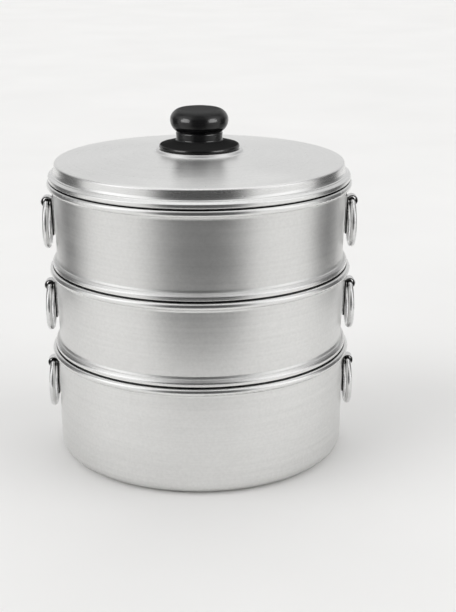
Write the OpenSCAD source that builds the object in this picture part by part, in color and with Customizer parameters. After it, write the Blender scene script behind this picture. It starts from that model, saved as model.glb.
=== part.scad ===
// Stovetop steamer: a water pot, two perforated steaming tiers and a lid, all pressed
// from aluminium sheet and stacked on their rolled rims. Each pan has a ring handle on
// either side, hung in a curled lug, and the lid has a moulded knob held by a screw.
// Millimetres. Origin at the centre of the pot's underside, +Z up, front towards -Y,
// ring handles on +X and -X.

/* [Pans] */
// Outside diameter over the rolled rims
rim_d = 283; // [270:1:320]
// Diameter of the section of a rolled rim
rim_bead_d = 6.6; // [6:0.2:7.4]
// Height of the water pot, floor to rim
pot_h = 102.6; // [95:0.2:160]
// Rounding between the pot's wall and bottom
pot_corner_r = 12; // [5:0.5:25]
// Height that the lower tier adds to the stack, rim to rim
lower_tier_h = 77.8; // [76:0.2:120]
// Height that the upper tier adds to the stack, rim to rim
upper_tier_h = 80.6; // [76:0.2:120]
// Draft of a tier's wall, in degrees
tier_draft = 1.9; // [0:0.1:2.5]
// Thickness of the pan sheet
sheet_t = 1.5; // [1:0.1:2]

/* [Stacking bead] */
// How far a rim stands out beyond the bead of the tier that rests on it
bead_step = 3; // [2:0.1:3.6]
// Height of the bead, up to where it meets the wall
bead_h = 9.6; // [9:0.2:12]
// Depth that a pan or the lid drops inside the rim below
nest_h = 9; // [6:0.5:14]
// Clearance around the part that drops inside
nest_gap = 1.5; // [0.5:0.1:3]
// Clearance at each resting ring
rest_gap = 0.3; // [0.2:0.1:0.6]

/* [Steam holes] */
// Diameter of a steam hole
hole_d = 4; // [2:0.5:4]
// Number of rings of holes around the middle one
hole_rings = 6; // [2:1:6]
// Distance between the rings of holes
hole_pitch = 18.5; // [12:0.5:20]

/* [Lid] */
// Thickness of the lid sheet
lid_t = 1.2; // [0.8:0.1:1.5]
// Height of the top's edge above the rim it rests on
lid_edge_h = 16.6; // [14:0.2:24]
// How far the rim stands out beyond the lid's bead
brim_step = 1.3; // [0.5:0.1:2.2]
// How far the top's edge lies in from the outside of the rim
lid_edge_in = 7.3; // [5.5:0.1:12]
// Rise of the domed top from its edge to the middle
lid_crown = 8.4; // [3:0.2:14]
// Diameter of the raised seat under the knob
seat_d = 78; // [70:1:100]
// Height of the raised seat above the dome at its edge
seat_h = 2.8; // [1:0.1:4]

/* [Knob] */
// Diameter of the knob's flange
flange_d = 74.4; // [60:0.2:78]
// Thickness of the flange at its edge
flange_t = 4.2; // [3:0.1:6]
// Diameter of the neck
neck_d = 43.2; // [34:0.2:46]
// Largest diameter of the grip
grip_d = 53.8; // [50:0.2:60]
// Height of the whole knob
knob_h = 37.6; // [34:0.2:50]

/* [Ring handles] */
// Outside diameter of a ring
ring_d = 47.5; // [44:0.5:52]
// Diameter of the ring's wire
wire_d = 5.8; // [5:0.1:6]
// Distance of the ring's hinge outside the rim
hinge_out = 1.1; // [1:0.1:5]
// Distance of the ring's hinge below the rim
hinge_drop = 22.5; // [20:0.5:24]
// Inside diameter of the lug's curl, in which the ring swings
curl_bore_d = 8; // [8:0.1:9]
// Width of the curl
curl_w = 9; // [8:0.5:9]
// Width of the lug's leg, down the wall
leg_w = 18; // [16:0.5:22]
// Length of the leg below the hinge
leg_len = 31.6; // [29.6:0.2:36]
// Thickness of the lug's strip
lug_t = 1.3; // [1.1:0.1:1.4]
// Diameter of a rivet's shank
rivet_d = 4; // [3:0.1:4]

/* [Hidden] */
$fn = 120;

// Facing of each side's handle, as a turn about the stack's axis
LEFT = 180;
RIGHT = 0;

// Levels of the three rims
base_rim_z = pot_h;
lower_rim_z = base_rim_z + lower_tier_h;
upper_rim_z = lower_rim_z + upper_tier_h;

rim_bead_r = rim_bead_d / 2;
rim_r = rim_d / 2 - rim_bead_r;
// Inward bulge of the rolled rim past the wall's inside
rim_roll = 0.1;
wall_r = rim_d / 2 - rim_bead_d + sheet_t + rim_roll;
nest_r = rim_d / 2 - rim_bead_d - nest_gap;
// Level below the rim at which the plain wall starts, under the fillet of the rolled rim
wall_top = 9;
// Rounding between the nesting part and the perforated bottom
nest_corner_r = 4;
// Small collar that steps the wall out to the stacking bead: its reach, its level below the
// bead's top, and the heights of the slopes that lead into it and out of it
collar_out = 1.9;
collar_drop = 2.4;
collar_rise = 0.4;
collar_fall = 0.6;
// Level of the bead's upper corner, below the bead's top
shoulder_drop = 4.9;
// Lift and width of the bead's rounded foot, outside the flat that rests on the rim
foot_lift = 1.9;
foot_w = 1.1;

// Lid heights, measured from the rim that it rests on
lid_edge_r = rim_d / 2 - lid_edge_in;
seat_r = seat_d / 2;
seat_edge_z = lid_edge_h + lid_crown * (1 - pow(seat_r / lid_edge_r, 2));
seat_z = seat_edge_z + seat_h;
// Width of the slope around the seat, and how far outside the seat the dome's points begin
seat_slope_w = 1.4;
dome_start = 4;
knob_z = upper_rim_z + seat_z;
dome_steps = 24;
// Wall of the lid: flare from the top's edge down to the bead, and how much shorter than a
// pan's its nesting part is
lid_flare = 0.6;
lid_nest_cut = 2;

// How far a cut reaches past the faces that it goes through
over = 1;

// Knob screw: a five millimetre machine screw in a moulded-in brass insert
screw_r = 2.5;
screw_head_r = 4.8;
screw_head_h = 3;
screw_len = 13;
insert_r = 5;
insert_h = 17;
insert_bore_h = 14;
insert_groove_z = 8.5;
insert_groove_h = 2;
insert_groove_deep = 0.6;
washer_r = 8;
washer_t = 1.2;
thread_play = 0.05;
washer_play = 0.02;
seat_hole_r = 3;

// Ring handles
wire_r = wire_d / 2;
ring_mean_r = (ring_d - wire_d) / 2;
curl_bore_r = curl_bore_d / 2;
hinge_x = rim_d / 2 + hinge_out;
// Sweep of the curl, from the leg over the top and round to a narrow slit
curl_sweep = 308;
// Slack by which the wire hangs below the middle of the curl
ring_sag = 0.2;
// Rounding of the leg's corners, rise of its two ears above the hinge on either side of the
// curl, and the cut that frees the curl's tongue from them: its width on each side and depth
leg_corner_r = 3;
ear_rise = 4.4;
ear_corner_r = 1.5;
tongue_cut_w = 0.6;
tongue_cut_drop = 2.4;
// Dished pad pressed in the leg, through which the lug is riveted
dish_r = 5.6;
dish_top = 9.6;
dish_bottom = 23.4;
rivet_drops = [dish_top + 1.5, dish_bottom - 1.5];
rivet_head_r = 3.4;
rivet_head_h = 1.6;
rivet_tail_r = 3.6;
rivet_tail_h = 1.2;
rivet_r = rivet_d / 2;
rivet_play = 0.05;
// Room for the wall's curve under a rivet's flat tail
rivet_slack = 0.06;

ALU = "#c9cacb";
STEEL = "#b9bcc0";
BLACK = "#1b1b1d";
BRASS = "#b89a55";

// Outlines
// A sheet's outline is given by the corners of its outer face, each [r, z, rounding].

function unit(v) = v / norm(v);
function left_of(v) = [-v[1], v[0]];
function cross2(a, b) = a[0] * b[1] - a[1] * b[0];
function flat(p) = [p[0], p[1]];

// Points of the arc that rounds corner b, between corners a and c
function rounded(a, b, c, radius, steps) =
    let (
        u = unit(a - b),
        v = unit(c - b),
        half = acos(u * v) / 2,
        middle = b + unit(u + v) * radius / sin(half),
        from = b + u * radius / tan(half) - middle,
        to = b + v * radius / tan(half) - middle,
        sweep = 180 - 2 * half
    )
    [for (i = [0:steps])
        middle + (sin(sweep * (1 - i / steps)) * from + sin(sweep * i / steps) * to) / sin(sweep)];

// The whole line with its corners rounded
function round_line(line, steps = 8) =
    let (last = len(line) - 1)
    [for (i = [0:last])
        for (p = i == 0 || i == last || line[i][2] <= 0
            ? [flat(line[i])]
            : rounded(flat(line[i - 1]), flat(line[i]), flat(line[i + 1]), line[i][2], steps))
            p];

// The line moved sideways by t to its right, its roundings kept parallel
function inset_line(line, t) =
    let (
        last = len(line) - 1,
        dirs = [for (i = [0:last - 1]) unit(flat(line[i + 1]) - flat(line[i]))]
    )
    [for (i = [0:last])
        let (
            d1 = dirs[max(i - 1, 0)],
            d2 = dirs[min(i, last - 1)],
            n1 = -left_of(d1),
            n2 = -left_of(d2),
            p = flat(line[i]) + t * (n1 + n2) / (1 + n1 * n2),
            turn = cross2(d1, d2),
            radius = line[i][2] <= 0 ? 0 : line[i][2] + (turn > 0 ? t : -t)
        )
        [p[0], p[1], max(radius, 0)]];

// A sheet of thickness t behind its outer face
module sheet_profile(line, t) {
    outer = round_line(line);
    inner = round_line(inset_line(line, t));
    polygon(concat(outer, [for (i = [len(inner) - 1:-1:0]) inner[i]]));
}

// Corners of the stacking bead, from the wall above it down to the nesting part: the collar
// under the wall, the bead's sloping top, its side, and its foot over the rim below
function bead_line(foot_r, bead_r) =
    let (collar_z = bead_h - collar_drop)
    [
        [foot_r, bead_h, 1.6],
        [foot_r + collar_out / 2, collar_z + collar_rise, 0.8],
        [foot_r + collar_out, collar_z, 0.5],
        [foot_r + collar_out + collar_rise, collar_z - collar_fall, 0.5],
        [bead_r, bead_h - shoulder_drop, 1.8],
        [bead_r, foot_lift, 1.5],
        [bead_r - foot_w, rest_gap, 0.6],
        [nest_r, rest_gap, 0.8]
    ];

// Rolled rim at the top of a pan, with the fillet that blends it into the wall
module rim(z) {
    fillet_foot = [0.25, 1.3];
    fillet_head = [1.1, 0.1];
    rotate_extrude() translate([rim_r, z - rim_bead_r]) circle(r = rim_bead_r, $fn = 48);
    rotate_extrude() polygon([
        [wall_r - sheet_t / 2, z - rim_bead_r],
        [wall_r - sheet_t / 2, z - wall_top],
        [wall_r, z - wall_top],
        [wall_r, z - wall_top] + fillet_foot,
        [wall_r, z - 2 * rim_bead_r] + fillet_head,
        [rim_r, z - rim_bead_r]
    ]);
}

module pot_sheet() {
    rotate_extrude() sheet_profile([
        [wall_r, base_rim_z - rim_bead_r, 0],
        [wall_r, 0, pot_corner_r],
        [0, 0, 0]
    ], sheet_t);
}

module tier_sheet(z, h) {
    top_r = wall_r + (wall_top - rim_bead_r) * tan(tier_draft);
    foot_r = wall_r - (h - wall_top - bead_h) * tan(tier_draft);
    translate([0, 0, z]) rotate_extrude() sheet_profile(concat(
        [[top_r, h - rim_bead_r, 0]],
        bead_line(foot_r, rim_d / 2 - bead_step),
        [
            [nest_r, -nest_h, nest_corner_r],
            [0, -nest_h, 0]
        ]
    ), sheet_t);
}

module lid_profile() {
    dome_r = seat_r + dome_start;
    translate([0, upper_rim_z]) sheet_profile(concat(
        [
            [0, seat_z, 0],
            [seat_r, seat_z, 1.6],
            [seat_r + seat_slope_w, seat_edge_z, 1.6]
        ],
        [for (i = [1:dome_steps - 1])
            let (r = dome_r + (lid_edge_r - dome_r) * i / dome_steps)
            [r, lid_edge_h + lid_crown * (1 - pow(r / lid_edge_r, 2)), 0]],
        [[lid_edge_r, lid_edge_h, 2.4]],
        bead_line(lid_edge_r + lid_flare, rim_d / 2 - brim_step),
        [[nest_r, -nest_h + lid_nest_cut, 0]]
    ), lid_t);
}

// Handles
// Children are drawn at the hinge of a pan's handle, on its left or right side.
module at_handle(rim_z, side) {
    rotate([0, 0, side]) translate([hinge_x, 0, rim_z - hinge_drop]) children();
}

// Radius of the outer wall at the hinge's level
function wall_r_at_hinge(draft) = wall_r - (hinge_drop - wall_top) * tan(draft);

// Distance from the middle of the leg's strip to the wall
function leg_offset(draft) =
    (hinge_x - wall_r_at_hinge(draft)) * cos(draft) - curl_bore_r - lug_t / 2;

// Children are drawn on the leg, which follows the wall's draft: the origin in the middle of
// its strip at the hinge's level, X out from the wall and Z up along it.
module on_leg(draft) {
    rotate([0, draft, 0]) translate([-curl_bore_r - lug_t / 2, 0, 0]) children();
}

// A stadium standing on the leg, r in half width, from x0 to x1 off the strip's middle
module dish_shape(r, x0, x1) {
    translate([x0, 0, 0]) rotate([90, 0, 90]) linear_extrude(x1 - x0) {
        translate([0, -dish_top]) circle(r = r, $fn = 48);
        translate([0, -dish_bottom]) circle(r = r, $fn = 48);
        translate([-r, -dish_bottom]) square([2 * r, dish_bottom - dish_top]);
    }
}

// Plate of the leg: its two ears stand beside the tongue that rises to the curl
module leg_outline() {
    half_w = leg_w / 2;
    ear_in = curl_w / 2 + tongue_cut_w;
    low = -leg_len + leg_corner_r;
    translate([-half_w + leg_corner_r, -leg_len])
        square([leg_w - 2 * leg_corner_r, leg_len - tongue_cut_drop]);
    translate([-half_w, low]) square([leg_w, -tongue_cut_drop - low]);
    translate([-curl_w / 2, low]) square([curl_w, -low]);
    for (side = [0, 1]) mirror([side, 0]) {
        translate([half_w - leg_corner_r, low]) circle(r = leg_corner_r, $fn = 48);
        translate([ear_in, low]) square([half_w - ear_corner_r - ear_in, ear_rise - low]);
        translate([ear_in, low]) square([half_w - ear_in, ear_rise - ear_corner_r - low]);
        translate([half_w - ear_corner_r, ear_rise - ear_corner_r])
            circle(r = ear_corner_r, $fn = 48);
    }
}

module lug(rim_z, side, draft) {
    wall_x = -leg_offset(draft);
    color(STEEL) at_handle(rim_z, side) {
        rotate([0, draft, 0]) rotate([-90, 180, 0]) translate([0, 0, -curl_w / 2])
            rotate_extrude(angle = curl_sweep, $fn = 96)
                translate([curl_bore_r, 0]) square([lug_t, curl_w]);
        on_leg(draft) difference() {
            union() {
                translate([-lug_t / 2, 0, 0]) rotate([90, 0, 90])
                    linear_extrude(lug_t) leg_outline();
                dish_shape(dish_r, wall_x, 0);
            }
            dish_shape(dish_r - lug_t, wall_x + lug_t, lug_t);
            rivet_holes(draft);
        }
    }
}

module rivet_holes(draft) {
    through = 8;
    for (drop = rivet_drops)
        translate([-leg_offset(draft) - through / 2, 0, -drop]) rotate([0, 90, 0])
            cylinder(r = rivet_r + rivet_play, h = through, $fn = 32);
}

// A rivet lies along X, its head outside on the dish and its closed tail inside the pan
module rivet_profile() {
    grip = sheet_t + lug_t + rivet_slack;
    polygon(concat(
        [[0, 0]],
        [for (a = [0:15:90])
            [rivet_tail_r * sin(a), rivet_tail_h * (1 - cos(a))]],
        [
            [rivet_r, rivet_tail_h],
            [rivet_r, rivet_tail_h + grip]
        ],
        [for (a = [90:-15:0])
            [rivet_head_r * sin(a), rivet_tail_h + grip + rivet_head_h * cos(a)]]
    ));
}

module rivets(rim_z, side, draft) {
    tail_x = -leg_offset(draft) - sheet_t - rivet_slack - rivet_tail_h;
    color(ALU) at_handle(rim_z, side) on_leg(draft)
        for (drop = rivet_drops)
            translate([tail_x, 0, -drop]) rotate([0, 90, 0])
                rotate_extrude($fn = 48) rivet_profile();
}

module ring(rim_z, side) {
    color(STEEL) at_handle(rim_z, side)
        translate([0, 0, -ring_sag - ring_mean_r]) rotate([0, 90, 0])
            rotate_extrude($fn = 96) translate([ring_mean_r, 0]) circle(r = wire_r, $fn = 32);
}

module pan_rivet_holes(rim_z, draft) {
    for (side = [LEFT, RIGHT])
        at_handle(rim_z, side) on_leg(draft) rivet_holes(draft);
}

// Sub-parts

module base_pot() {
    color(ALU) difference() {
        union() {
            rim(base_rim_z);
            pot_sheet();
        }
        pan_rivet_holes(base_rim_z, 0);
    }
}

// One hole in the middle and rings of holes around it, each ring with six more than the last
module steam_holes(z) {
    translate([0, 0, z - nest_h - over]) {
        steam_hole();
        for (k = [1:hole_rings])
            for (i = [0:6 * k - 1])
                rotate([0, 0, (i + k % 2 / 2) * 60 / k]) translate([k * hole_pitch, 0, 0])
                    steam_hole();
    }
}

module steam_hole() {
    cylinder(d = hole_d, h = sheet_t + 2 * over, $fn = 24);
}

// A tier of height h that rests on the rim at level z
module tier(z, h) {
    color(ALU) difference() {
        union() {
            rim(z + h);
            tier_sheet(z, h);
        }
        steam_holes(z);
        pan_rivet_holes(z + h, tier_draft);
    }
}

module lower_tier() {
    tier(base_rim_z, lower_tier_h);
}

module upper_tier() {
    tier(lower_rim_z, upper_tier_h);
}

module lid() {
    color(ALU) difference() {
        rotate_extrude() lid_profile();
        translate([0, 0, knob_z - lid_t - over])
            cylinder(r = seat_hole_r, h = lid_t + 2 * over, $fn = 32);
    }
}

// Half outline of the knob, from the middle of its top down to the flange and its underside
function knob_outline() =
    let (
        flange_r = flange_d / 2,
        flange_half_t = flange_t / 2,
        neck_r = neck_d / 2,
        grip_round = 12.2,
        grip_centre = [grip_d / 2 - grip_round, knob_h - 11.2],
        grip_over = 10.6,
        grip_under = 12.3,
        waist = [3, 2],
        waist_z = knob_h - 22.4,
        neck_foot = [1.8, 1.5],
        neck_foot_z = 7.6
    )
    concat(
        [[0, knob_h]],
        [for (a = [82:-6:-52])
            grip_centre + [grip_round * cos(a), (a > 0 ? grip_over : grip_under) * sin(a)]],
        [for (a = [150:12:210])
            [neck_r + 2.6 + waist[0] * cos(a), waist_z + waist[1] * sin(a)]],
        [for (a = [180:15:260])
            [neck_r + 1.4 + neck_foot[0] * cos(a), neck_foot_z + neck_foot[1] * (1 + sin(a))]],
        [for (a = [84:-12:-84])
            [flange_r + flange_half_t * (cos(a) - 1), flange_half_t * (1 + sin(a))]],
        [[0, 0]]
    );

module knob() {
    color(BLACK) translate([0, 0, knob_z]) difference() {
        rotate_extrude() polygon(knob_outline());
        translate([0, 0, -over]) cylinder(r = insert_r, h = insert_h + over, $fn = 48);
    }
}

module knob_insert() {
    color(BRASS) translate([0, 0, knob_z]) difference() {
        cylinder(r = insert_r, h = insert_h, $fn = 48);
        translate([0, 0, -over])
            cylinder(r = screw_r + thread_play, h = insert_bore_h + over, $fn = 32);
        translate([0, 0, insert_groove_z]) rotate_extrude($fn = 48)
            translate([insert_r - insert_groove_deep, 0]) square([over, insert_groove_h]);
    }
}

module knob_washer() {
    color(STEEL) translate([0, 0, knob_z - lid_t - washer_t - washer_play]) difference() {
        cylinder(r = washer_r, h = washer_t, $fn = 48);
        translate([0, 0, -over])
            cylinder(r = seat_hole_r, h = washer_t + 2 * over, $fn = 32);
    }
}

module knob_screw() {
    slot_w = 1.2;
    slot_deep = 1.4;
    head_round = 1.6;
    color(STEEL) translate([0, 0, knob_z - lid_t - washer_t - 2 * washer_play]) difference() {
        union() {
            rotate_extrude($fn = 48) polygon(concat(
                [[0, 0], [screw_head_r, 0]],
                [for (a = [90:-15:0])
                    [
                        screw_head_r - head_round * (1 - sin(a)),
                        -screw_head_h + head_round * (1 - cos(a))
                    ]],
                [[0, -screw_head_h]]
            ));
            cylinder(r = screw_r, h = screw_len + lid_t + washer_t, $fn = 32);
        }
        translate([-screw_head_r - over, -slot_w / 2, -screw_head_h - over])
            cube([2 * (screw_head_r + over), slot_w, slot_deep + over]);
    }
}

base_pot();
lower_tier();
upper_tier();
lid();
knob();
knob_insert();
knob_washer();
knob_screw();
lug(base_rim_z, LEFT, 0);  // base_lug_left
lug(base_rim_z, RIGHT, 0);  // base_lug_right
rivets(base_rim_z, LEFT, 0);  // base_rivets_left
rivets(base_rim_z, RIGHT, 0);  // base_rivets_right
ring(base_rim_z, LEFT);  // base_ring_left
ring(base_rim_z, RIGHT);  // base_ring_right
lug(lower_rim_z, LEFT, tier_draft);  // lower_lug_left
lug(lower_rim_z, RIGHT, tier_draft);  // lower_lug_right
rivets(lower_rim_z, LEFT, tier_draft);  // lower_rivets_left
rivets(lower_rim_z, RIGHT, tier_draft);  // lower_rivets_right
ring(lower_rim_z, LEFT);  // lower_ring_left
ring(lower_rim_z, RIGHT);  // lower_ring_right
lug(upper_rim_z, LEFT, tier_draft);  // upper_lug_left
lug(upper_rim_z, RIGHT, tier_draft);  // upper_lug_right
rivets(upper_rim_z, LEFT, tier_draft);  // upper_rivets_left
rivets(upper_rim_z, RIGHT, tier_draft);  // upper_rivets_right
ring(upper_rim_z, LEFT);  // upper_ring_left
ring(upper_rim_z, RIGHT);  // upper_ring_right
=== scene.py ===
import math

import bpy
from mathutils import Matrix, Vector

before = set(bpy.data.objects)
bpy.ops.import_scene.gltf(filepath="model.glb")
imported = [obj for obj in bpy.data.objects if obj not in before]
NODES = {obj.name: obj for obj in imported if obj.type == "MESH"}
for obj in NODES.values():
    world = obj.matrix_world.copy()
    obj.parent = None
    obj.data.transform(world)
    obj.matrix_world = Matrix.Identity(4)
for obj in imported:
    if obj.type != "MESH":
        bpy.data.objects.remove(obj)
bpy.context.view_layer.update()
scene = bpy.context.scene


# ---------------------------------------------------------------- camera
# A pinhole camera, fitted to the ellipses of the rims, the lid, the knob's flange and the pot's
# foot in the photograph.
CAMERA_AT = (0.0, -1.155110, 0.498613)  # metres
CAMERA_TURN, CAMERA_DIP = -0.022894, 0.305396  # radians
LENS, SENSOR = 74.087, 36.0  # millimetres

camera_data = bpy.data.cameras.new("camera")
camera_data.sensor_fit = "AUTO"
camera_data.sensor_width = SENSOR
camera_data.lens = LENS
camera = bpy.data.objects.new("camera", camera_data)
scene.collection.objects.link(camera)
camera.matrix_world = (
    Matrix.Translation(CAMERA_AT)
    @ Matrix.Rotation(CAMERA_TURN, 4, "Z")
    @ Matrix.Rotation(math.pi / 2 - CAMERA_DIP, 4, "X")
)
scene.camera = camera
scene.view_settings.view_transform = "Standard"


# ---------------------------------------------------------------- node helpers
# Blender's Mix node keeps a set of sockets for each kind of data: its a, its b and its output.
MIX_SOCKETS = {"VECTOR": (4, 5, 1), "RGBA": (6, 7, 2)}


def grey(level, blue=0.0):
    """A grey that differs from neutral by blue in its last channel."""
    return (level, level, round(level + blue, 4))


def rgba(colour):
    return (*colour, 1) if isinstance(colour, tuple) else colour


class Graph:
    """Short words for wiring the nodes of one material or world."""

    def __init__(self, tree):
        self.tree = tree
        self.tree.nodes.clear()

    def node(self, kind, **props):
        made = self.tree.nodes.new(kind)
        for key, value in props.items():
            setattr(made, key, value)
        return made

    def put(self, socket, value):
        """Links another node's socket or sets a plain value; None leaves the socket alone."""
        if isinstance(value, bpy.types.NodeSocket):
            self.tree.links.new(value, socket)
        elif value is not None:
            socket.default_value = value

    def fill(self, made, *values):
        """Puts the values into the node's first sockets and returns its first output."""
        for socket, value in zip(made.inputs, values):
            self.put(socket, value)
        return made.outputs[0]

    def math(self, op, a, b=None):
        return self.fill(self.node("ShaderNodeMath", operation=op), a, b)

    def add(self, a, b):
        return self.math("ADD", a, b)

    def less(self, a, b):
        return self.math("SUBTRACT", a, b)

    def times(self, a, b):
        return self.math("MULTIPLY", a, b)

    def absolute(self, a):
        return self.math("ABSOLUTE", a)

    def most(self, values):
        """The largest of some values."""
        first, *others = values
        for value in others:
            first = self.math("MAXIMUM", first, value)
        return first

    def hypot(self, a, b):
        return self.math("SQRT", self.add(self.times(a, a), self.times(b, b)))

    def step(self, value, lo, hi, to_lo=0.0, to_hi=1.0):
        """A smooth step, from to_lo where value is lo to to_hi where it is hi."""
        made = self.node("ShaderNodeMapRange", interpolation_type="SMOOTHSTEP")
        return self.fill(made, value, lo, hi, to_lo, to_hi)

    def line(self, value, lo, hi, to_lo=0.0, to_hi=1.0):
        """The same as a straight ramp."""
        return self.fill(self.node("ShaderNodeMapRange"), value, lo, hi, to_lo, to_hi)

    def xyz(self, x, y, z):
        return self.fill(self.node("ShaderNodeCombineXYZ"), x, y, z)

    def split(self, vector):
        made = self.node("ShaderNodeSeparateXYZ")
        self.put(made.inputs[0], vector)
        return made.outputs

    def noise(self, vector, scale, detail=2.0, rough=0.5):
        made = self.node("ShaderNodeTexNoise")
        for name, value in (("Vector", vector), ("Scale", scale),
                            ("Detail", detail), ("Roughness", rough)):
            self.put(made.inputs[name], value)
        return made.outputs[0]

    def streaks(self, values, scales, rough=0.5):
        """Noise over three values, with a scale for each."""
        scaled = [self.times(value, scale) for value, scale in zip(values, scales)]
        return self.noise(self.xyz(*scaled), 1.0, 3.0, rough)

    def spread(self, noise, lo=0.0, hi=1.0, among=(0.3, 0.7)):
        """Noise, most of which lies in among, as values from lo to hi."""
        return self.line(noise, *among, lo, hi)

    def ramp(self, value, stops):
        """Eased grey levels over value, from stops of (value, level)."""
        made = self.node("ShaderNodeValToRGB")
        made.color_ramp.interpolation = "EASE"
        marks = made.color_ramp.elements
        while len(marks) < len(stops):
            marks.new(0.5)
        for mark, (at, level) in zip(marks, stops):
            mark.position = at
            mark.color = rgba(grey(level))
        self.put(made.inputs[0], value)
        return made.outputs[0]

    def mix(self, kind, fac, a, b, **props):
        """Blender's Mix node; kind is VECTOR or RGBA."""
        made = self.node("ShaderNodeMix", data_type=kind, **props)
        from_a, from_b, out = MIX_SOCKETS[kind]
        for i, value in ((0, fac), (from_a, a), (from_b, b)):
            self.put(made.inputs[i], value)
        return made.outputs[out]

    def tint(self, fac, a, b):
        return self.mix("RGBA", fac, rgba(a), rgba(b))

    def blend(self, fac, a, b):
        return self.fill(self.node("ShaderNodeMixShader"), fac, a, b)

    def bump(self, height, distance, normal=None):
        made = self.node("ShaderNodeBump")
        for name, value in (("Height", height), ("Distance", distance),
                            ("Strength", 1.0), ("Normal", normal)):
            self.put(made.inputs[name], value)
        return made.outputs[0]

    def end(self, kind, shader):
        self.put(self.node(kind).inputs["Surface"], shader)

    def coordinates(self, kind):
        return self.node("ShaderNodeTexCoord").outputs[kind]

    def principled(self, **sockets):
        """Ends a material with one Principled shader; its sockets' names have _ for a space."""
        shader = self.node("ShaderNodeBsdfPrincipled")
        for name, value in sockets.items():
            self.put(shader.inputs[name.replace("_", " ")], value)
        self.end("ShaderNodeOutputMaterial", shader.outputs[0])


def material(name):
    made = bpy.data.materials.new(name)
    made.use_nodes = True
    return made, Graph(made.node_tree)


def place(g):
    """Object coordinates, as one vector and as x, y and z."""
    at = g.coordinates("Object")
    return (at, *g.split(at))


# ---------------------------------------------------------------- where things are, in metres
RIM_TOPS = (0.1026, 0.1804, 0.2610)
RIM_RADIUS, RIM_BEAD = 0.1382, 0.0033  # of the bead's middle round the axis, and of its section
BEAD_NEAR, BEAD_OFF = 0.00016, 0.00026  # off its surface: still the bead, and no longer
BAND_RISE = 0.0003  # from a rim's top to the middle of the dark band over it
BAND_DARK, BAND_CLEAR = 0.0003, 0.0011  # black as far as this from its middle, then clear
BAND_REACH = (0.1383, 0.1383, 0.1396)  # how far out from the axis each band is dark
BAND_FADE = 0.0005
HINGE_X, HINGE_DROP = 0.1426, 0.0225  # of a ring's hinge line, the drop from its pan's rim
HINGE_Z = tuple(top - HINGE_DROP for top in RIM_TOPS)
LEG_EDGE = (0.0074, 0.0078)  # from the middle of a lug's leg to its cut edge
CURL_END = (0.0043, 0.0045)  # from the middle of its curl to the curl's end
CURL_SHEET, BORE = (0.0047, 0.0049), (0.0041, 0.0043)  # from the hinge line
CURL_SHADE_OFF, CURL_SHADE_ALONG = (0.0046, 0.0056), (0.0036, 0.0044)  # off the hinge line, and along it
SEAT_FROM, SEAT_TO = (0.0375, 0.0385), (0.0415, 0.0430)  # the slope round the knob's seat
GRIP_FOOT = (0.3000, 0.3050)  # between the knob's flange and its grip


def band_shade(g, r, z):
    """1 in the narrow band of painted shade in the gap where a pan or the lid rests on a rim, 0
    elsewhere.
    """
    shades = []
    for top, reach in zip(RIM_TOPS, BAND_REACH):
        off = g.absolute(g.less(z, top + BAND_RISE))
        level = g.step(off, BAND_DARK, BAND_CLEAR, 1.0, 0.0)
        shades.append(g.times(level, g.step(r, reach, reach + BAND_FADE, 1.0, 0.0)))
    return g.most(shades)


def rim_normal(g, x, y, z, r, plain):
    """The plain normal, or on a rolled rim that of its round section, smoother than the mesh."""
    normal = plain
    out = g.less(r, RIM_RADIUS)
    spread = g.math("DIVIDE", out, r)
    for top in RIM_TOPS:
        up = g.less(z, top - RIM_BEAD)
        away = g.absolute(g.less(g.hypot(out, up), RIM_BEAD))
        on_bead = g.step(away, BEAD_NEAR, BEAD_OFF, 1.0, 0.0)
        turned = g.node("ShaderNodeVectorTransform", vector_type="NORMAL",
                        convert_from="OBJECT", convert_to="WORLD")
        world = g.fill(turned, g.xyz(g.times(x, spread), g.times(y, spread), up))
        unit = g.fill(g.node("ShaderNodeVectorMath", operation="NORMALIZE"), world)
        normal = g.mix("VECTOR", on_bead, normal, unit)
    return normal


def hinge_off(g, x, z):
    """The distance from the nearest hinge line."""
    across = g.less(g.absolute(x), HINGE_X)
    near, *others = [g.hypot(across, g.less(z, hinge)) for hinge in HINGE_Z]
    for off in others:
        near = g.math("MINIMUM", near, off)
    return near


# ---------------------------------------------------------------- materials
# Parts of a noise's range: its middle, all but its dark end, and its peaks.
MIDDLE, PATCHY, PEAKS = (0.35, 0.65), (0.35, 0.7), (0.5, 0.75)

# Noise scales are per metre.
LATHE_FINE, LATHE_BROAD = (2600.0, 0.9, 2600.0), (420.0, 1.4, 420.0)  # by r, sine of turn, z
LATHE_DRIFT = 0.0006  # how far a lathe ring wanders to one side, in metres
SHEET_CLOUD, SHEET_MOTTLE, SHEET_GRAIN = 17.0, 380.0, 900.0
BRUSH_LONG, BRUSH_SHORT = 240.0, 5200.0

SHEET_DARK, SHEET_LIGHT = (0.725, 0.725, 0.715), (0.83, 0.83, 0.82)
BURNISHED = (0.80, 0.80, 0.795)
WORN_LEAN, CROWN_LEAN = (0.45, 0.95), (0.65, 0.98)  # how far up the knob's duller parts face
GAP_SHADE_BLACK, EDGE_SHADE_BLACK, CURL_SHADE_BLACK = grey(0.012), (0.018, 0.017, 0.016), grey(0.03)


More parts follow.
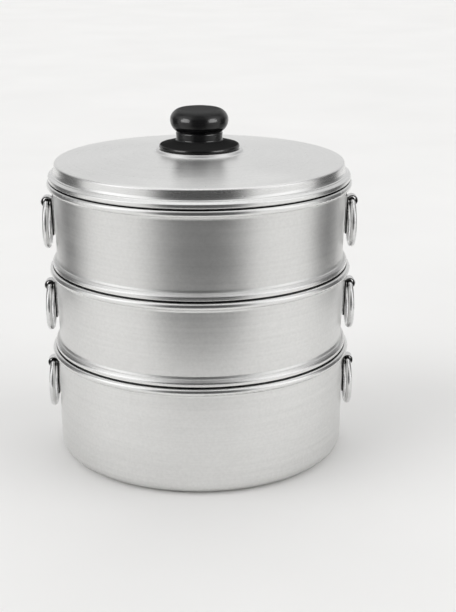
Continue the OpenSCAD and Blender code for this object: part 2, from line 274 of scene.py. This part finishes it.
def spun_aluminium(name, polish, satin=0.33, lathe=1.0, across=0.0, burnish=0.22, seat=False):
    """Satin spun sheet: fine lathe rings, soft clouds, and edges burnished brighter.

    polish is where, in metres from the axis, the burnishing begins and is full; satin and
    burnish are roughnesses, lathe is how deep the rings are, across turns the gloss, and seat
    adds the polished slope round the knob's seat.
    """
    made, g = material(name)
    at, x, y, z = place(g)
    r = g.hypot(x, y)
    turn = g.math("ARCTAN2", y, x)
    drift = g.times(g.math("COSINE", turn), LATHE_DRIFT)
    rings = (g.add(r, drift), g.math("SINE", turn), g.add(z, drift))
    fine = g.streaks(rings, LATHE_FINE, rough=0.6)
    broad = g.streaks(rings, LATHE_BROAD, rough=0.65)
    cloud = g.noise(at, SHEET_CLOUD, 4.0, 0.55)
    mottle = g.noise(at, SHEET_MOTTLE, 2.0, 0.55)
    grain = g.noise(at, SHEET_GRAIN, 2.0, 0.6)
    polished = g.step(r, *polish)

    sheet = g.add(g.spread(broad, satin - 0.02, satin + 0.03),
                  g.spread(cloud, -0.03, 0.03))
    sheet = g.add(sheet, g.spread(grain, -0.02, 0.02))
    edge = g.spread(broad, burnish - 0.02, burnish + 0.02)
    rough = g.add(g.times(sheet, g.less(1.0, polished)), g.times(edge, polished))

    tone = g.add(g.times(g.add(broad, mottle), 0.35), g.times(cloud, 0.3))
    colour = g.tint(g.spread(tone, among=MIDDLE), SHEET_DARK, SHEET_LIGHT)
    colour = g.tint(g.times(polished, 0.6), colour, BURNISHED)
    # Painted shade: the gap under each resting bead is coloured black, darker than its own
    # shading makes it.
    colour = g.tint(band_shade(g, r, z), colour, GAP_SHADE_BLACK)
    if seat:
        slope = g.times(g.step(r, *SEAT_FROM), g.step(r, *SEAT_TO, 1.0, 0.0))
        rough = g.add(rough, g.times(slope, 0.18))
        colour = g.tint(slope, colour, BURNISHED)

    marks = g.add(g.times(fine, 0.6), g.times(broad, 0.6))
    marks = g.add(marks, g.times(grain, 0.25))
    marks = g.times(marks, g.less(1.0, g.times(polished, 0.85)))
    eased = g.node("ShaderNodeBevel", samples=6)
    eased.inputs["Radius"].default_value = 0.0007
    normal = g.bump(marks, 0.00002 * lathe, rim_normal(g, x, y, z, r, eased.outputs[0]))
    tangent = g.node("ShaderNodeTangent", direction_type="RADIAL", axis="Z").outputs[0]
    g.principled(Base_Color=colour, Metallic=1.0, Roughness=rough, Normal=normal,
                 Anisotropic=0.45, Anisotropic_Rotation=across, Tangent=tangent)
    return made


def brushed_steel(name, dark, light, rough, along, painted_edges=False):
    """Pressed metal with short straight brush marks along x or z.

    The last argument, if true, paints shade black on the side edges of a lug's leg, the ends of
    its curl and the inside of its bore, where the gaps by the wall and round the ring lie in
    shadow.
    """
    made, g = material(name)
    at, x, y, z = place(g)
    scales = [BRUSH_LONG if axis == along else BRUSH_SHORT for axis in "xyz"]
    streak = g.streaks((x, y, z), scales, rough=0.65)
    cloud = g.noise(at, 130.0, 3.0)
    spots = g.noise(at, 1500.0)
    tone = g.add(g.times(streak, 0.6), g.times(cloud, 0.4))
    colour = g.tint(g.spread(tone, among=MIDDLE), dark, light)
    roughness = g.add(g.spread(streak, rough - 0.06, rough + 0.07),
                      g.spread(spots, 0.0, 0.04, among=(0.4, 0.7)))
    # Painted shade: a lug's leg edges, curl ends and bore are coloured near black, as the
    # shadowed gaps there look.
    if painted_edges:
        facing_side = g.absolute(g.split(g.coordinates("Normal"))[1])
        out = g.absolute(y)
        off = hinge_off(g, x, z)
        leg_edge = g.times(g.step(facing_side, 0.4, 0.6), g.step(out, *LEG_EDGE))
        curl_edge = g.times(g.step(out, *CURL_END), g.step(off, *CURL_SHEET, 1.0, 0.0))
        bore = g.step(off, *BORE, 1.0, 0.0)
        shaded_edges = g.most((leg_edge, curl_edge, bore))
        colour = g.tint(shaded_edges, colour, EDGE_SHADE_BLACK)
        roughness = g.add(roughness, g.times(shaded_edges, 0.3))
    normal = g.bump(g.add(streak, g.times(cloud, 0.6)), 0.000025)
    g.principled(Base_Color=colour, Metallic=1.0, Roughness=roughness, Normal=normal)
    return made


def chrome(name):
    """Bright plated wire: hairline scratches, dulled patches, a slightly uneven bend, and shade
    painted on the wire inside the curl."""
    made, g = material(name)
    at, x, y, z = place(g)
    hair = g.streaks((x, y, z), (3800.0, 900.0, 900.0), rough=0.7)
    wave = g.noise(at, 90.0)
    dull = g.noise(at, 260.0, 3.0, 0.6)
    colour = g.tint(g.spread(dull, among=PATCHY), grey(0.80), (0.73, 0.73, 0.725))
    # Painted shade: the wire inside the curl is darkened where the curl hides it from the light.
    wear_and_shade = g.times(g.step(hinge_off(g, x, z), *CURL_SHADE_OFF, 1.0, 0.0),
                   g.step(g.absolute(y), *CURL_SHADE_ALONG, 1.0, 0.0))
    colour = g.tint(g.times(wear_and_shade, 0.35), colour, CURL_SHADE_BLACK)
    rough = g.add(g.spread(dull, 0.20, 0.27, among=(0.4, 0.75)),
                  g.spread(hair, 0.0, 0.05, among=PEAKS))
    normal = g.bump(g.add(g.times(wave, 3.0), hair), 0.00002)
    g.principled(Base_Color=colour, Metallic=1.0, Roughness=rough, Normal=normal)
    return made


def moulded_black(name):
    """Glossy black moulded phenolic: flow marks, orange peel and fine scuffs; no gloss on top,
    where a lighter grey is painted as sheen.
    """
    made, g = material(name)
    at, x, y, z = place(g)
    peel = g.noise(at, 700.0)
    flow = g.streaks((x, y, z), (60.0, 60.0, 240.0))
    scuff = g.noise(at, 2400.0, 3.0, 0.7)
    upward = g.split(g.coordinates("Normal"))[2]
    wear_and_shade, crown = g.step(upward, *WORN_LEAN), g.step(upward, *CROWN_LEAN)
    colour = g.tint(g.spread(flow, among=MIDDLE), grey(0.0020, 0.0002), grey(0.0045, 0.0003))
    # Painted sheen: the upward faces take a lighter grey in place of the reflection their lost
    # gloss would show, greyer on the grip than on the flange.
    top_sheen = g.tint(g.step(z, *GRIP_FOOT), grey(0.014), grey(0.045))
    colour = g.tint(crown, colour, top_sheen)
    gloss = g.times(g.line(wear_and_shade, 0.0, 1.0, 0.38, 0.05), g.less(1.0, crown))
    rough = g.add(g.spread(flow, 0.14, 0.17), g.spread(scuff, 0.0, 0.04, among=PEAKS))
    rough = g.add(rough, g.times(wear_and_shade, 0.12))
    normal = g.bump(g.add(peel, g.times(scuff, 0.2)), 0.000012)
    g.principled(Base_Color=colour, Metallic=0.0, Roughness=rough, Normal=normal,
                 IOR=1.55, Specular_IOR_Level=gloss)
    return made


def turned_brass(name):
    """Lathe rings on brass with a little tarnish."""
    made, g = material(name)
    at, x, y, z = place(g)
    r = g.hypot(x, y)
    lathe = g.noise(g.xyz(g.times(r, 4200.0), 0.0, g.times(z, 4200.0)), 1.0)
    tarnish = g.noise(at, 420.0, 3.0, 0.6)
    colour = g.tint(g.spread(tarnish, among=PATCHY), (0.80, 0.60, 0.28), (0.62, 0.43, 0.19))
    rough = g.add(g.spread(lathe, 0.2, 0.3), g.spread(tarnish, 0.0, 0.1, among=(0.4, 0.7)))
    g.principled(Base_Color=colour, Metallic=1.0, Roughness=rough, Normal=g.bump(lathe, 0.00002))
    return made


PAN = spun_aluminium("pan_aluminium_spun", (0.1370, 0.1378))
LID = spun_aluminium("lid_aluminium_spun", (0.1320, 0.1350), satin=0.31, lathe=0.3,
                     across=0.25, burnish=0.26, seat=True)
RIVET = brushed_steel("rivet_aluminium_headed", (0.70, 0.70, 0.69), (0.82, 0.82, 0.81), 0.26, "x")
LUG = brushed_steel("lug_steel_brushed", grey(0.62), (0.76, 0.76, 0.755), 0.26, "z", painted_edges=True)
ZINC = brushed_steel("zinc_steel_plated", (0.60, 0.61, 0.62), (0.74, 0.74, 0.72), 0.28, "x")
RING = chrome("ring_chrome_wire")
KNOB = moulded_black("knob_black_moulded")
BRASS = turned_brass("insert_brass_turned")

SINGLE_PIECES = {
    "base_pot": PAN, "lower_tier": PAN, "upper_tier": PAN, "lid": LID,
    "knob": KNOB, "knob_insert": BRASS, "knob_washer": ZINC, "knob_screw": ZINC,
}
REPEATED_PIECES = {"_ring_": RING, "_lug_": LUG, "_rivets_": RIVET}


def finish_of(node):
    for word, finish in REPEATED_PIECES.items():
        if word in node:
            return finish
    return SINGLE_PIECES[node]


for name, obj in NODES.items():
    slots = obj.data.materials
    if not slots:
        slots.append(None)
    for i in range(len(slots)):
        slots[i] = finish_of(name)


# ---------------------------------------------------------------- floor and cards
FLOOR_HALF = 14  # metres


def plate(name, corners):
    """A flat face of the stage, which isn't part of the object."""
    mesh = bpy.data.meshes.new(name)
    mesh.from_pydata(corners, [], [tuple(range(len(corners)))])
    obj = bpy.data.objects.new(name, mesh)
    scene.collection.objects.link(obj)
    return obj


floor = plate("floor", [(FLOOR_HALF * x, FLOOR_HALF * y, 0)
                        for x, y in ((-1, -1), (1, -1), (1, 1), (-1, 1))])
pale_floor, g = material("floor_pale")
patches = g.spread(g.noise(g.coordinates("Object"), 3.0, 3.0))
g.principled(Base_Color=g.tint(patches, (0.86, 0.855, 0.845), (0.89, 0.885, 0.875)),
             Roughness=0.75)
floor.data.materials.append(pale_floor)


def card(name, left, right, high, foot, head):
    """A dark card that only reflections see, as a photographer stands one by shiny metal.

    left and right are where it stands on the floor, foot and head its levels below and above;
    it fades out at its sides and towards its top.
    """
    obj = plate(name, [(*left, 0.0), (*right, 0.0), (*right, high), (*left, high)])
    obj.visible_camera = obj.visible_diffuse = obj.visible_shadow = False
    obj.visible_transmission = obj.visible_volume_scatter = False
    made, g = material(name)
    across, _, up = g.split(g.coordinates("Generated"))
    sides = g.times(g.step(across, 0.0, 0.3), g.step(across, 0.7, 1.0, 1.0, 0.0))
    cover = g.times(sides, g.step(up, 0.6, 1.0, 1.0, 0.0))
    glow = g.node("ShaderNodeEmission")
    g.put(glow.inputs["Strength"], g.step(up, 0.1, 0.3, foot, head))
    clear = g.node("ShaderNodeBsdfTransparent")
    g.end("ShaderNodeOutputMaterial", g.blend(cover, clear.outputs[0], glow.outputs[0]))
    obj.data.materials.append(made)


card("flag_front", (-0.37, -0.44), (0.37, -0.44), 0.80, 0.17, 0.08)
card("flag_left", (-0.67, -0.03), (-0.42, 0.40), 0.60, 0.14, 0.14)
card("flag_right", (0.44, 0.36), (0.67, -0.06), 0.60, 0.12, 0.12)


# ---------------------------------------------------------------- lamps
FROM_LEFT, FROM_RIGHT = (-0.80, -0.30, 0.62), (0.85, -0.25, 0.55)
SPARK_SPREAD, SPARK_STRENGTH = 38, 1.80


def sun(name, aim, spread, strength, mirrored=False, only=None):
    """A soft sun from the direction aim, spread degrees wide.

    Reflections show it if mirrored, and it lights one collection alone if only says which.
    """
    data = bpy.data.lights.new(name, "SUN")
    data.angle = math.radians(spread)
    data.energy = strength
    obj = bpy.data.objects.new(name, data)
    scene.collection.objects.link(obj)
    obj.location = [3 * c for c in aim]
    obj.visible_glossy = mirrored
    if only is not None:
        obj.light_linking.receiver_collection = only
    obj.rotation_mode = "QUATERNION"
    obj.rotation_quaternion = Vector(aim).to_track_quat("Z", "Y")


# The key and the fill would leave white streaks on the rims, so reflections show weaker suns in
# their places.
sun("key_left", FROM_LEFT, 50, 0.55)
sun("sheen_left", FROM_LEFT, 50, 0.20, mirrored=True)
sun("fill_right", FROM_RIGHT, 50, 0.40)
sun("sheen_right", FROM_RIGHT, 50, 0.15, mirrored=True)
sun("top", (0.05, 0.35, 1.0), 70, 0.50, mirrored=True)

# The two highlights on the knob's grip, which the metal doesn't see.
black = bpy.data.collections.new("black_pieces")
black.objects.link(NODES["knob"])
sun("spark_left", (-0.84, -0.52, 0.24), SPARK_SPREAD, SPARK_STRENGTH, mirrored=True, only=black)
sun("spark_right", (0.82, -0.55, 0.24), SPARK_SPREAD, SPARK_STRENGTH, mirrored=True, only=black)


# ---------------------------------------------------------------- world
# Grey levels of the studio's walls, by the share of a turn round the axis from +Y towards -X,
# and by height from straight down to straight up.
WALLS = [
    (0.0, 0.70), (0.08, 0.66), (0.165, 0.44), (0.22, 0.66), (0.285, 0.94), (0.37, 0.74),
    (0.44, 0.38), (0.5, 0.30), (0.56, 0.38), (0.63, 0.74), (0.715, 0.90), (0.77, 0.60),
    (0.83, 0.42), (0.92, 0.64), (1.0, 0.70),
]
HEIGHTS = [(0.0, 0.8), (0.5, 0.95), (0.62, 1.0), (1.0, 0.85)]
STUDIO_STRENGTH = 1.16
BACKDROP = (0.80, 0.795, 0.785)

world = bpy.data.worlds.new("studio")
scene.world = world
world.use_nodes = True
g = Graph(world.node_tree)
x, y, z = g.split(g.coordinates("Generated"))
turn = g.math("DIVIDE", g.math("ARCTAN2", x, g.times(y, -1.0)), 2 * math.pi)
walls = g.ramp(g.add(turn, 0.5), WALLS)
heights = g.ramp(g.line(z, -1.0, 1.0), HEIGHTS)
studio = g.node("ShaderNodeBackground")
g.fill(studio, g.mix("RGBA", 1.0, walls, heights, blend_type="MULTIPLY"), STUDIO_STRENGTH)
backdrop = g.node("ShaderNodeBackground")
g.fill(backdrop, rgba(BACKDROP))
seen = g.node("ShaderNodeLightPath").outputs["Is Camera Ray"]
g.end("ShaderNodeOutputWorld", g.blend(seen, studio.outputs[0], backdrop.outputs[0]))
